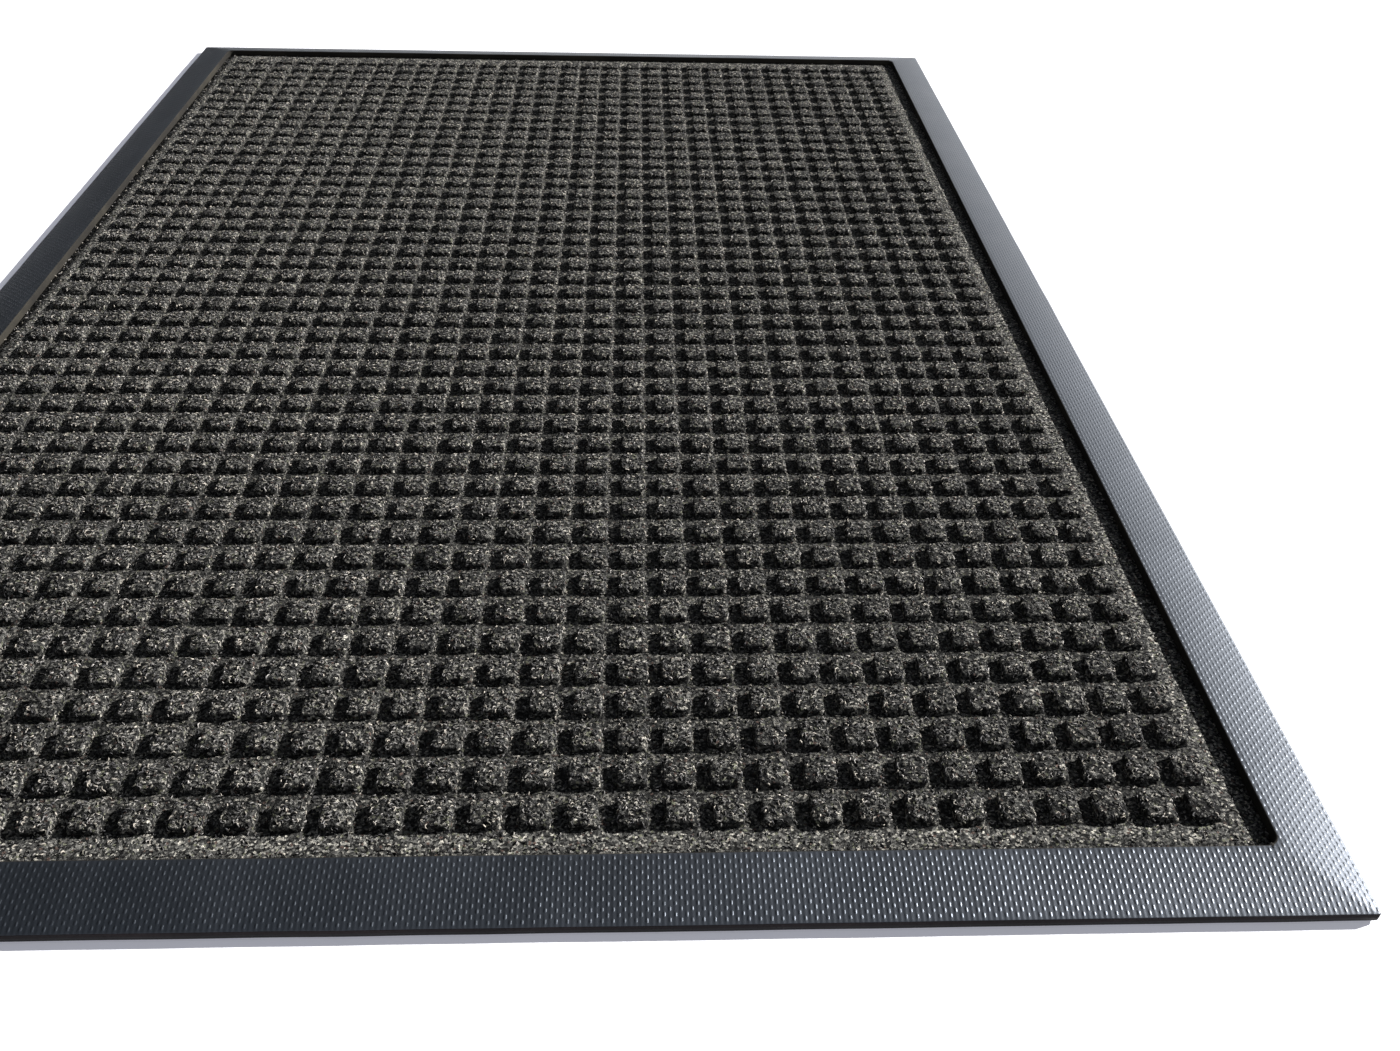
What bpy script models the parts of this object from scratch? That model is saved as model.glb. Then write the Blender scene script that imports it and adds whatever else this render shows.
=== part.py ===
"""Rubber-bordered entrance mat, laid up as it goes into the curing press.

From the floor up: a rubber backing sheet with grip cleats moulded under it, four mitred
rubber border strips that form a raised dam round the edge, a bed of rubber that fills the
raised squares of the carpet from below, a thin scrim, and the needle-punched pile.

Metres, +Z up. The origin is on the floor at the middle of the mat, +Y runs along its
length, and the front edge is at -Y. Run it with: blender --background --python part.py
"""

import math

import bmesh
import bpy
from mathutils import Matrix, Vector

# Outline of the mat and of the opening that the carpet lies in
MAT_WIDTH = 0.600
MAT_LENGTH = 0.900
OUTER_CORNER_RADIUS = 0.0015
OPENING_CORNER_RADIUS = 0.005
CORNER_STEPS = 3  # straight steps in each eighth of a turn

# Backing sheet and the cleats under it
SHEET_THICKNESS = 0.0016
CLEAT_HEIGHT = 0.0012
CLEAT_BASE_RADIUS = 0.0016
CLEAT_TIP_RADIUS = 0.0009
CLEAT_ROOT = 0.0005  # how far a cleat's root reaches into the sheet
CLEAT_SIDES = 4
CLEAT_SPACING = 0.0335  # nominal, between columns and between rows
CLEAT_EDGE_INSET = 0.0004  # from the sheet's edge to the foot of the outermost cleats

# Border strips: a thin lip outside, a crowned slope, and the dam's wall inside
BORDER_WIDTH = 0.025
LIP_THICKNESS = 0.0014
DAM_HEIGHT = 0.0063  # of the inner edge, above the strip's own base
CROWN_RISE = 0.0005  # of the slope's middle above a straight line
CROWN_STEPS = 6
DAM_EDGE_RADIUS = 0.0010
DAM_EDGE_STEPS = 3

# Carpet: pitch, foot and height of its raised squares, and its layers
NUB_PITCH_X = 0.0165
NUB_PITCH_Y = 0.0180
NUB_WIDTH = 0.0110
NUB_LENGTH = 0.0125
NUB_HEIGHT = 0.0030
LEAST_FLAT_MARGIN = 0.0135  # of flat carpet between the dam and the first squares
SCRIM_THICKNESS = 0.0004
FLAT_PILE_THICKNESS = 0.0016
RAISED_PILE_THICKNESS = 0.0018
FIELD_CORNER_RADIUS = 0.0040

# Clearances
BOND_GAP = 0.0003  # between bonded layers, and between the carpet's edge and the dam
MITRE_GAP = 0.0003

# Finishes: colour, roughness
BLACK_RUBBER = ((0.018, 0.020, 0.024, 1.0), 0.55)
CORE_RUBBER = ((0.030, 0.030, 0.030, 1.0), 0.80)
WHITE_SCRIM = ((0.35, 0.34, 0.32, 1.0), 0.90)
CHARCOAL_PILE = ((0.055, 0.055, 0.050, 1.0), 0.95)

# Levels and outlines that follow from the sizes above
SHEET_TOP = CLEAT_HEIGHT + SHEET_THICKNESS
LAYER_BASE = SHEET_TOP + BOND_GAP
PILE_BASE = LAYER_BASE + SCRIM_THICKNESS + BOND_GAP
VALLEY_TOP = PILE_BASE + FLAT_PILE_THICKNESS
NUB_TOP = VALLEY_TOP + NUB_HEIGHT
RAISED_PILE_BASE = NUB_TOP - RAISED_PILE_THICKNESS
RAISED_SCRIM_TOP = RAISED_PILE_BASE - BOND_GAP
RAISED_SCRIM_BASE = RAISED_SCRIM_TOP - SCRIM_THICKNESS
CORE_TOP = RAISED_SCRIM_BASE - BOND_GAP

OPENING = Vector((MAT_WIDTH - 2 * BORDER_WIDTH, MAT_LENGTH - 2 * BORDER_WIDTH))
CARPET = OPENING - Vector((2 * BOND_GAP, 2 * BOND_GAP))
CARPET_CORNER_RADIUS = OPENING_CORNER_RADIUS - BOND_GAP


def nub_count(opening, pitch, nub):
    """How many raised squares fit along the opening with a flat margin at both ends."""
    return math.floor((opening - 2 * LEAST_FLAT_MARGIN - nub) / pitch + 1e-6) + 1


NUB_COLUMNS = nub_count(OPENING.x, NUB_PITCH_X, NUB_WIDTH)
NUB_ROWS = nub_count(OPENING.y, NUB_PITCH_Y, NUB_LENGTH)
FIELD = Vector(
    (
        (NUB_COLUMNS - 1) * NUB_PITCH_X + NUB_WIDTH,
        (NUB_ROWS - 1) * NUB_PITCH_Y + NUB_LENGTH,
    )
)


def clear_scene():
    """Removes every object, so that only the mat is left."""
    for obj in list(bpy.data.objects):
        bpy.data.objects.remove(obj)


def finish(name, look):
    """A Principled material of one colour and roughness."""
    colour, roughness = look
    material = bpy.data.materials.new(name)
    material.use_nodes = True
    shader = material.node_tree.nodes["Principled BSDF"]
    shader.inputs["Base Color"].default_value = colour
    shader.inputs["Roughness"].default_value = roughness
    shader.inputs["Metallic"].default_value = 0.0
    return material


def object_from(name, mesh_builder, material):
    """Turns a bmesh into a named object with outward faces and its own finish."""
    bmesh.ops.recalc_face_normals(mesh_builder, faces=mesh_builder.faces)
    mesh = bpy.data.meshes.new(name)
    mesh_builder.to_mesh(mesh)
    mesh_builder.free()
    mesh.materials.append(material)
    obj = bpy.data.objects.new(name, mesh)
    bpy.context.scene.collection.objects.link(obj)
    return obj


def rounded_rectangle(size, radius):
    """The corner points of a centred rectangle with round corners, anticlockwise."""
    half = size / 2
    steps = 2 * CORNER_STEPS
    points = []
    for quarter, (sign_x, sign_y) in enumerate([(1, 1), (-1, 1), (-1, -1), (1, -1)]):
        centre = Vector((sign_x * (half.x - radius), sign_y * (half.y - radius)))
        for step in range(steps + 1):
            angle = math.radians(90) * (quarter + step / steps)
            points.append(centre + radius * Vector((math.cos(angle), math.sin(angle))))
    return points


def ring(mesh_builder, outline, height):
    """A closed ring of vertices at one height."""
    return [mesh_builder.verts.new((point.x, point.y, height)) for point in outline]


def bridge(mesh_builder, first, second):
    """Quads between two rings with the same number of vertices."""
    count = len(first)
    for i in range(count):
        after = (i + 1) % count
        mesh_builder.faces.new((first[i], first[after], second[after], second[i]))


def stack_of_rings(rings_at):
    """A closed solid: a flat end, a wall through each ring in turn, and a flat end."""
    mesh_builder = bmesh.new()
    rings = [ring(mesh_builder, outline, height) for outline, height in rings_at]
    for first, second in zip(rings, rings[1:]):
        bridge(mesh_builder, first, second)
    mesh_builder.faces.new(rings[0])
    mesh_builder.faces.new(rings[-1])
    return mesh_builder


def evenly_out(reach):
    """Places from -reach to reach, one of them at 0, about a cleat's spacing apart."""
    steps = max(round(reach / CLEAT_SPACING), 1)
    return [reach * step / steps for step in range(-steps, steps + 1)]


def cleat_places():
    """Centres of the cleats: even rows and columns that reach the sheet's edges."""
    inset = CLEAT_BASE_RADIUS + CLEAT_EDGE_INSET
    return [
        Vector((x, y))
        for y in evenly_out(MAT_LENGTH / 2 - inset)
        for x in evenly_out(MAT_WIDTH / 2 - inset)
    ]


def cleats():
    """The blunt pyramids under the sheet, as one hidden shape that is joined to it."""
    mesh_builder = bmesh.new()
    height = CLEAT_HEIGHT + CLEAT_ROOT
    slope = (CLEAT_BASE_RADIUS - CLEAT_TIP_RADIUS) / CLEAT_HEIGHT
    for place in cleat_places():
        bmesh.ops.create_cone(
            mesh_builder,
            cap_ends=True,
            segments=CLEAT_SIDES,
            radius1=CLEAT_TIP_RADIUS,
            radius2=CLEAT_TIP_RADIUS + slope * height,
            depth=height,
            matrix=Matrix.Translation((place.x, place.y, height / 2)),
        )
    shape = object_from("cleat_shapes", mesh_builder, finish("cleat_rubber", BLACK_RUBBER))
    shape.hide_render = True
    shape.display_type = "WIRE"
    return shape


def backing_sheet():
    """The rubber sheet under the whole mat, with its cleats in one piece with it."""
    outline = rounded_rectangle(Vector((MAT_WIDTH, MAT_LENGTH)), OUTER_CORNER_RADIUS)
    slab = stack_of_rings([(outline, CLEAT_HEIGHT), (outline, SHEET_TOP)])
    sheet = object_from("backing_sheet", slab, finish("backing_rubber", BLACK_RUBBER))
    join = sheet.modifiers.new("cleats", "BOOLEAN")
    join.operation = "UNION"
    join.solver = "EXACT"
    join.object = cleats()
    return sheet


def strip_profile():
    """Section of a border strip as (inset from the mat's edge, height) points."""
    slope_width = BORDER_WIDTH - DAM_EDGE_RADIUS
    profile = [(0.0, LAYER_BASE)]
    for step in range(CROWN_STEPS + 1):
        along = step / CROWN_STEPS
        straight = LIP_THICKNESS + (DAM_HEIGHT - LIP_THICKNESS) * along
        bulge = CROWN_RISE * 4 * along * (1 - along)
        profile.append((slope_width * along, LAYER_BASE + straight + bulge))
    for step in range(1, DAM_EDGE_STEPS + 1):
        angle = math.radians(90) * step / DAM_EDGE_STEPS
        inset = slope_width + DAM_EDGE_RADIUS * math.sin(angle)
        height = LAYER_BASE + DAM_HEIGHT - DAM_EDGE_RADIUS * (1 - math.cos(angle))
        profile.append((inset, height))
    profile.append((BORDER_WIDTH, LAYER_BASE))
    return profile


def strip_line(side, depth, inset):
    """Plan points of one inset line of a strip along -Y, from mitre to mitre.

    The line is one side of a rounded rectangle, with half of each corner's arc, so that
    both ends lie on the mitre planes whatever the inset and the radius are.
    """
    share = inset / BORDER_WIDTH
    radius = OUTER_CORNER_RADIUS + (OPENING_CORNER_RADIUS - OUTER_CORNER_RADIUS) * share
    centre = Vector((side / 2 - inset - radius, -(depth - inset - radius)))
    half = []
    for step in range(CORNER_STEPS + 1):
        angle = math.radians(-90 + 45 * step / CORNER_STEPS)
        half.append(centre + radius * Vector((math.cos(angle), math.sin(angle))))
    half[-1].x -= MITRE_GAP / math.sqrt(2)
    return [Vector((-point.x, point.y)) for point in reversed(half)] + half


def border_strip(name, quarter_turns):
    """One mitred strip. Turned by quarter turns, it lies along each of the four sides."""
    swapped = quarter_turns % 2
    side = MAT_LENGTH if swapped else MAT_WIDTH
    depth = (MAT_WIDTH if swapped else MAT_LENGTH) / 2
    mesh_builder = bmesh.new()
    lines = []
    for inset, height in strip_profile():
        lines.append(ring(mesh_builder, strip_line(side, depth, inset), height))
    stations = [list(station) for station in zip(*lines)]
    for first, second in zip(stations, stations[1:]):
        bridge(mesh_builder, first, second)
    mesh_builder.faces.new(stations[0])
    mesh_builder.faces.new(stations[-1])
    turn = Matrix.Rotation(math.radians(90) * quarter_turns, 4, "Z")
    bmesh.ops.transform(mesh_builder, matrix=turn, verts=mesh_builder.verts)
    return object_from(name, mesh_builder, finish(name + "_rubber", BLACK_RUBBER))


def field_outline(inset):
    """Outline of the raised field, drawn in by an inset on every side."""
    size = FIELD - Vector((2 * inset, 2 * inset))
    return rounded_rectangle(size, max(FIELD_CORNER_RADIUS - inset, BOND_GAP))


def carpet_pile():
    """The needle-punched face: flat at its margin, raised over the field of squares."""
    carpet = rounded_rectangle(CARPET, CARPET_CORNER_RADIUS)
    raised = field_outline(0.0)
    hollow = field_outline(RAISED_PILE_THICKNESS)
    layers = [
        (hollow, RAISED_PILE_BASE),
        (hollow, PILE_BASE),
        (carpet, PILE_BASE),
        (carpet, VALLEY_TOP),
        (raised, VALLEY_TOP),
        (raised, NUB_TOP),
    ]
    return object_from(
        "carpet_pile", stack_of_rings(layers), finish("pile_fibre", CHARCOAL_PILE)
    )


def carpet_scrim():
    """The thin cloth that the fibre is needled through, following the pile's underside."""
    carpet = rounded_rectangle(CARPET, CARPET_CORNER_RADIUS)
    outer_inset = RAISED_PILE_THICKNESS + BOND_GAP
    raised = field_outline(outer_inset)
    hollow = field_outline(outer_inset + SCRIM_THICKNESS)
    layers = [
        (hollow, RAISED_SCRIM_BASE),
        (hollow, LAYER_BASE),
        (carpet, LAYER_BASE),
        (carpet, LAYER_BASE + SCRIM_THICKNESS),
        (raised, LAYER_BASE + SCRIM_THICKNESS),
        (raised, RAISED_SCRIM_TOP),
    ]
    return object_from(
        "carpet_scrim", stack_of_rings(layers), finish("scrim_cloth", WHITE_SCRIM)
    )


def nub_core_bed():
    """The rubber that holds the raised squares up from below, as one plain bed."""
    inset = RAISED_PILE_THICKNESS + BOND_GAP + SCRIM_THICKNESS + BOND_GAP
    outline = field_outline(inset)
    bed = stack_of_rings([(outline, LAYER_BASE), (outline, CORE_TOP)])
    return object_from("nub_core_bed", bed, finish("core_rubber", CORE_RUBBER))


def build_mat():
    """Builds every piece of the mat from the floor up."""
    clear_scene()
    backing_sheet()
    for quarter_turns, side in enumerate(["front", "right", "back", "left"]):
        border_strip("border_strip_" + side, quarter_turns)
    nub_core_bed()
    carpet_scrim()
    carpet_pile()


build_mat()
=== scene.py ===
"""Rubber-bordered entrance mat: the visible surfaces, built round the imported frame.

The mat is a needle-punched carpet, embossed with raised squares and laid in a black
rubber tray. Each sub-assembly is a class that takes its places from the frame's boxes:
the cleated backing, the bevelled border, the carrier cloth, the rubber cores, and the
carpet with its raised squares and curled pile. Metres, +Z up, +Y along the mat.
"""

import logging
import math
from dataclasses import dataclass
from enum import Enum
from functools import partial

import bmesh
import bpy
from mathutils import Matrix, Quaternion, Vector, noise


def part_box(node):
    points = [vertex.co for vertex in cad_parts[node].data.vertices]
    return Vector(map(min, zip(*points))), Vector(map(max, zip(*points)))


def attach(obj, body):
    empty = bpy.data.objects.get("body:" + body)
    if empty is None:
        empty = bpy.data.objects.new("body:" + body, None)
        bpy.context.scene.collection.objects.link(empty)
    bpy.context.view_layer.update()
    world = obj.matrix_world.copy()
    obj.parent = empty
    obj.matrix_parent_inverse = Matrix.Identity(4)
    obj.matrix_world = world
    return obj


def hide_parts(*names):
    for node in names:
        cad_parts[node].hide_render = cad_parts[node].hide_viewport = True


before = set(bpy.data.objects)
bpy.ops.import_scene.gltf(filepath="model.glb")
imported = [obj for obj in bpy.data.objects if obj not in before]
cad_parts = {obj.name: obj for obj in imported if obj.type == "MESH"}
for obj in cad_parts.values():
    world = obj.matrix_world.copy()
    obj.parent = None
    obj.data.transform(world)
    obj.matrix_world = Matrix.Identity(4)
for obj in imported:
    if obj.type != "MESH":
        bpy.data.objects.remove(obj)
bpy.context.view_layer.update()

MM = 0.001
BODY = "root"

log = logging.getLogger("entrance_mat")


# ---------------------------------------------------------------------------
# Nodes, colours and meshes
# ---------------------------------------------------------------------------


def linear(hex_colour: str) -> tuple[float, float, float, float]:
    """Turns an sRGB hex colour into linear values for a shader.

    Args:
        hex_colour: "#rrggbb".

    Returns:
        Linear red, green and blue, and an alpha of 1.
    """
    parts = [int(hex_colour[i : i + 2], 16) / 255 for i in (1, 3, 5)]
    lin = [p / 12.92 if p <= 0.04045 else ((p + 0.055) / 1.055) ** 2.4 for p in parts]
    return (lin[0], lin[1], lin[2], 1.0)


def set_up(node: bpy.types.Node, settings: dict) -> None:
    """Gives a node its settings and its links.

    Args:
        node: The node.
        settings: Values of properties, or of input sockets by name or number. An output
            socket is linked, and a node stands for its first output.
    """
    for key, value in settings.items():
        if isinstance(value, bpy.types.Node):
            value = value.outputs[0]
        if isinstance(value, bpy.types.NodeSocket):
            node.id_data.links.new(value, node.inputs[key])
        elif isinstance(key, str) and hasattr(node, key):
            setattr(node, key, value)
        else:
            node.inputs[key].default_value = value


def add_node(
    tree: bpy.types.NodeTree, kind: str, settings: dict | None = None
) -> bpy.types.Node:
    """Adds a node to a tree, with its settings and its links.

    Args:
        tree: The node tree.
        kind: The node's type, such as "ShaderNodeMath".
        settings: What set_up gives the node.

    Returns:
        The new node.
    """
    node = tree.nodes.new(kind)
    set_up(node, settings or {})
    return node


def set_ramp(node: bpy.types.Node, stops: tuple[tuple[float, str], ...], blend: str) -> None:
    """Gives a Color Ramp node its stops.

    Args:
        node: The Color Ramp node.
        stops: (place from 0 to 1, hex colour), in order.
        blend: The ramp's interpolation, such as "CONSTANT".
    """
    ramp = node.color_ramp
    ramp.interpolation = blend
    while len(ramp.elements) > 1:
        ramp.elements.remove(ramp.elements[-1])
    ramp.elements[0].position = stops[0][0]
    ramp.elements[0].color = linear(stops[0][1])
    for place, colour in stops[1:]:
        ramp.elements.new(place).color = linear(colour)


def new_object(name: str, data: bpy.types.ID) -> bpy.types.Object:
    """Links a new object with this data: a mesh, a light or a camera."""
    obj = bpy.data.objects.new(name, data)
    bpy.context.scene.collection.objects.link(obj)
    return obj


def release(obj: bpy.types.Object) -> bpy.types.Mesh:
    """Removes an object and gives back its mesh."""
    mesh = obj.data
    bpy.data.objects.remove(obj)
    return mesh


def object_from(name: str, builder: bmesh.types.BMesh) -> bpy.types.Object:
    """Turns a bmesh into an object with outward faces and smooth shading.

    Args:
        name: The object's name.
        builder: The bmesh, which is freed.

    Returns:
        The new object.
    """
    bmesh.ops.recalc_face_normals(builder, faces=builder.faces)
    mesh = bpy.data.meshes.new(name)
    builder.to_mesh(mesh)
    builder.free()
    mesh.shade_smooth()
    return new_object(name, mesh)


def sharpen(obj: bpy.types.Object, degrees: float) -> None:
    """Shades edges sharper than this angle as hard ones."""
    obj.data.set_sharp_from_angle(angle=math.radians(degrees))


def bridge(builder: bmesh.types.BMesh, first: list, second: list, closed: bool) -> None:
    """Fills the band between two rows of vertices with quads.

    Args:
        builder: The bmesh that holds them.
        first: One row of vertices.
        second: The other row, of the same length.
        closed: Whether each row is a ring.
    """
    count = len(first)
    for i in range(count if closed else count - 1):
        after = (i + 1) % count
        builder.faces.new((first[i], first[after], second[after], second[i]))


def stack(name: str, rings: list[list], crown: float | None = None) -> bpy.types.Object:
    """A closed solid through rings of points.

    Args:
        name: The new object's name.
        rings: The rings from the lowest up, all with the same number of points.
        crown: Height of a last point in the middle, or None for a flat top.

    Returns:
        The new object.
    """
    builder = bmesh.new()
    verts = [[builder.verts.new(point) for point in ring] for ring in rings]
    for first, second in zip(verts, verts[1:]):
        bridge(builder, first, second, True)
    builder.faces.new(verts[0])
    last = verts[-1]
    if crown is None:
        builder.faces.new(last)
    else:
        peak = builder.verts.new((0, 0, crown))
        for i, vert in enumerate(last):
            builder.faces.new((vert, last[(i + 1) % len(last)], peak))
    return object_from(name, builder)


def oval(
    count: int,
    size: tuple[float, float],
    share: float,
    height: float,
    phase: float = 0.5,
    power: float = 1.0,
) -> list[tuple[float, float, float]]:
    """The points of one level ring, anticlockwise.

    Args:
        count: How many points.
        size: The full width and length.
        share: The ring's size, as a share of the full one.
        height: Its level.
        phase: Where its first point is, in steps from +X.
        power: 1 for an ellipse, and towards 0 for a rectangle.

    Returns:
        The points.
    """
    ring = []
    for i in range(count):
        angle = 2 * math.pi * (i + phase) / count
        cos, sin = math.cos(angle), math.sin(angle)
        x = math.copysign(abs(cos) ** power, cos) * size[0] / 2 * share
        y = math.copysign(abs(sin) ** power, sin) * size[1] / 2 * share
        ring.append((x, y, height))
    return ring


def rounded_rectangle(half: Vector, radius: float, steps: int, spacing: float) -> list[Vector]:
    """The points of a centred rectangle with round corners, anticlockwise.

    Args:
        half: Half its width and half its length.
        radius: Radius of its corners.
        steps: Straight steps in each corner.
        spacing: Greatest distance between points along its sides.

    Returns:
        The points in plan.
    """
    corners = []
    for quarter, (sign_x, sign_y) in enumerate([(1, 1), (-1, 1), (-1, -1), (1, -1)]):
        centre = Vector((sign_x * (half.x - radius), sign_y * (half.y - radius)))
        for step in range(steps + 1):
            angle = math.radians(90) * (quarter + step / steps)
            corners.append(centre + radius * Vector((math.cos(angle), math.sin(angle))))
    points = []
    for i, point in enumerate(corners):
        after = corners[(i + 1) % len(corners)]
        parts = max(math.ceil((after - point).length / spacing), 1)
        points += [point.lerp(after, part / parts) for part in range(parts)]
    return points


def place_piece(obj: bpy.types.Object, slot: str, *nodes: str) -> None:
    """Puts a finished piece on the mat's body, in place of CAD nodes.

    Args:
        obj: The piece.
        slot: A material slot of the record; not used.
        nodes: The CAD nodes that it stands for.
    """
    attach(obj, BODY)
    if nodes:
        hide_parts(*nodes)
    log.info("%s: %d faces", obj.name, len(obj.data.polygons))


class Recipe:
    """A Geometry Nodes tree with named inputs, which turns a mesh into a plain mesh."""

    def __init__(self, name: str) -> None:
        """Starts an empty tree with a Geometry and a Finish input."""
        self.tree = bpy.data.node_groups.new(name, "GeometryNodeTree")
        self.add = partial(add_node, self.tree)
        self.tree.interface.new_socket(
            "Geometry", in_out="OUTPUT", socket_type="NodeSocketGeometry"
        )
        self.entry = self.tree.nodes.new("NodeGroupInput")
        self.base, self.finish = self.inputs(Geometry="Geometry", Finish="Material")

    def inputs(self, **kinds: str) -> list[bpy.types.NodeSocket]:
        """Adds named inputs.

        Args:
            kinds: Each input's kind by its name, with _ for a space in a name.

        Returns:
            Their sockets inside the tree.
        """
        sockets = []
        for key, kind in kinds.items():
            name = key.replace("_", " ")
            kind = "NodeSocket" + kind
            self.tree.interface.new_socket(name, in_out="INPUT", socket_type=kind)
            sockets.append(self.entry.outputs[name])
        return sockets

    def random(
        self, low: float, high: float, salt: int, seed: bpy.types.NodeSocket
    ) -> bpy.types.NodeSocket:
        """A number for each point between two limits.

        Args:
            low: Lower limit.
            high: Upper limit.
            salt: Tells this number apart from the tree's other random ones.
            seed: The tree's seed input.

        Returns:
            The output socket.
        """
        own = self.add("ShaderNodeMath", {0: seed, 1: float(salt)})
        settings = {"data_type": "FLOAT", 2: low, 3: high, "Seed": own}
        return self.add("FunctionNodeRandomValue", settings).outputs[1]

    def strewn(
        self, reach: bpy.types.NodeSocket, salt: int, seed: bpy.types.NodeSocket
    ) -> bpy.types.Node:
        """A level vector for each point, random along X and along Y.

        Args:
            reach: Its most along either, both ways.
            salt: The first of two salts.
            seed: The tree's seed input.

        Returns:
            The node that gives it.
        """
        ways = {axis: self.random(-1, 1, salt + axis, seed) for axis in range(2)}
        way = self.add("ShaderNodeCombineXYZ", ways)
        return self.add("ShaderNodeVectorMath", {"operation": "SCALE", 0: way, "Scale": reach})

    def swollen(
        self, swell: bpy.types.NodeSocket, salt: int, seed: bpy.types.NodeSocket
    ) -> bpy.types.Node:
        """A scale for each point, random along each axis.

        Args:
            swell: How far it is from 1 at most, both ways.
            salt: The first of three salts.
            seed: The tree's seed input.

        Returns:
            The node that gives it.
        """
        sizes = {}
        for axis in range(3):
            chance = self.random(-1, 1, salt + axis, seed)
            settings = {"operation": "MULTIPLY_ADD", 0: chance, 1: swell, 2: 1.0}
            sizes[axis] = self.add("ShaderNodeMath", settings)
        return self.add("ShaderNodeCombineXYZ", sizes)

    def end(self, geometry: bpy.types.Node) -> "Recipe":
        """Realizes the copies, shades them smooth and gives them the finish."""
        real = self.add("GeometryNodeRealizeInstances", {"Geometry": geometry})
        smooth = self.add("GeometryNodeSetShadeSmooth", {"Geometry": real})
        dressed = self.add(
            "GeometryNodeSetMaterial", {"Geometry": smooth, "Material": self.finish}
        )
        self.add("NodeGroupOutput", {"Geometry": dressed})
        return self

    def make(
        self, name: str, base: bpy.types.Mesh, finish: bpy.types.Material, **values: object
    ) -> bpy.types.Object:
        """Runs the tree on a mesh and keeps the result as a plain mesh.

        Args:
            name: Name of the new piece.
            base: The mesh that the tree starts from.
            finish: The material that the tree sets.
            values: The tree's other inputs, with _ for a space in a name.

        Returns:
            A new object that has the made mesh and no modifier.
        """
        carrier = new_object(name + "_carrier", base)
        modifier = carrier.modifiers.new(self.tree.name, "NODES")
        modifier.node_group = self.tree
        given = {key.replace("_", " "): value for key, value in values.items()}
        given["Finish"] = finish
        for item in self.tree.interface.items_tree:
            if item.in_out == "INPUT" and item.name in given:
                modifier[item.identifier] = given.pop(item.name)
        if given:
            raise ValueError(f"{self.tree.name} has no inputs named {sorted(given)}")
        depsgraph = bpy.context.evaluated_depsgraph_get()
        mesh = bpy.data.meshes.new_from_object(carrier.evaluated_get(depsgraph))
        bpy.data.objects.remove(carrier)
        mesh.materials.clear()
        mesh.materials.append(finish)
        mesh.polygons.foreach_set("material_index", [0] * len(mesh.polygons))
        mesh.name = name
        return new_object(name, mesh)


# ---------------------------------------------------------------------------
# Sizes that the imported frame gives
# ---------------------------------------------------------------------------


@dataclass(frozen=True)
class MatFrame:
    """The mat's outlines and levels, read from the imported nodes' boxes."""

    half: Vector  # half the mat's width and length
    floor: float  # the tips of the cleats
    backing_top: float
    dam_top: float
    carpet_half: Vector  # half the carpet's width and length
    carpet_base: float
    nub_top: float
    field_half: Vector  # half the width and length that the raised squares cover
    scrim_base: float

    @classmethod
    def read(cls) -> "MatFrame":
        """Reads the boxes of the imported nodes."""
        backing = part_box("backing_sheet")
        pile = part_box("carpet_pile")
        core_half = Vector(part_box("nub_core_bed")[1][:2])
        return cls(
            half=Vector(backing[1][:2]),
            floor=backing[0][2],
            backing_top=backing[1][2],
            dam_top=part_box("border_strip_front")[1][2],
            carpet_half=Vector(pile[1][:2]),
            carpet_base=pile[0][2],
            nub_top=pile[1][2],
            field_half=core_half + Vector((1, 1)) * PILE_OVER_CORE,
            scrim_base=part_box("carpet_scrim")[0][2],
        )

    @property
    def carpet_size(self) -> tuple[float, float]:
        """The carpet's width and length, laid flat."""
        return (2 * self.carpet_half.x, 2 * self.carpet_half.y)

    @property
    def squares(self) -> dict:
        """The rows and columns of the raised squares, as inputs of a recipe."""
        return {
            "Columns": COLUMNS,
            "Rows": ROWS,
            "Width": 2 * self.field_half.x - NUB_SIZE.x,
            "Length": 2 * self.field_half.y - NUB_SIZE.y,
        }


PILE_OVER_CORE = 2.8 * MM  # from the side of the core bed to the side of the squares
NUB_RISE = 3.0 * MM  # of a raised square above the flat carpet
COLUMNS = 32
ROWS = 46
NUB_SIZE = Vector((11.0, 12.5)) * MM
CARPET_CORNER = 4.7 * MM  # radius
SIDE_STEP = 60 * MM  # between points along a straight side that can't be seen
LUMP = 5 * MM  # width of one swelling of the squares
SHARE = "pile_share"  # attribute: how thick the curls stand, 1 on the raised squares
CUT_STRAY = 0.22 * MM
CUT_LENGTH = 34 * MM  # from one stray of the knife to the next
PRESS_WAVES = ((0.16, 85 * MM, 0.03), (0.05, 16 * MM, 0.07))  # mm high, length, level


def hand_cut(point: Vector) -> float:
    """How far the mat's edge strays outwards here, as a knife along a rule leaves it."""
    return CUT_STRAY * noise.noise(Vector((point.x, point.y, 0.0)) / CUT_LENGTH)


def press_wave(point: Vector) -> float:
    """How far the border's top strays from its true height, from the press."""
    waves = [
        height * noise.noise(Vector((point.x, point.y, level)) / length)
        for height, length, level in PRESS_WAVES
    ]
    return sum(waves) * MM


# ---------------------------------------------------------------------------
# Finishes
# ---------------------------------------------------------------------------


def new_material(name: str, settings: dict) -> tuple[bpy.types.Material, bpy.types.Node]:
    """A material with one Principled shader.

    Args:
        name: The material's name.
        settings: Values of the shader's sockets by name.

    Returns:
        The material and its shader node.
    """
    material = bpy.data.materials.new(name)
    material.use_nodes = True
    shader = material.node_tree.nodes["Principled BSDF"]
    set_up(shader, settings)
    return material, shader


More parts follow.
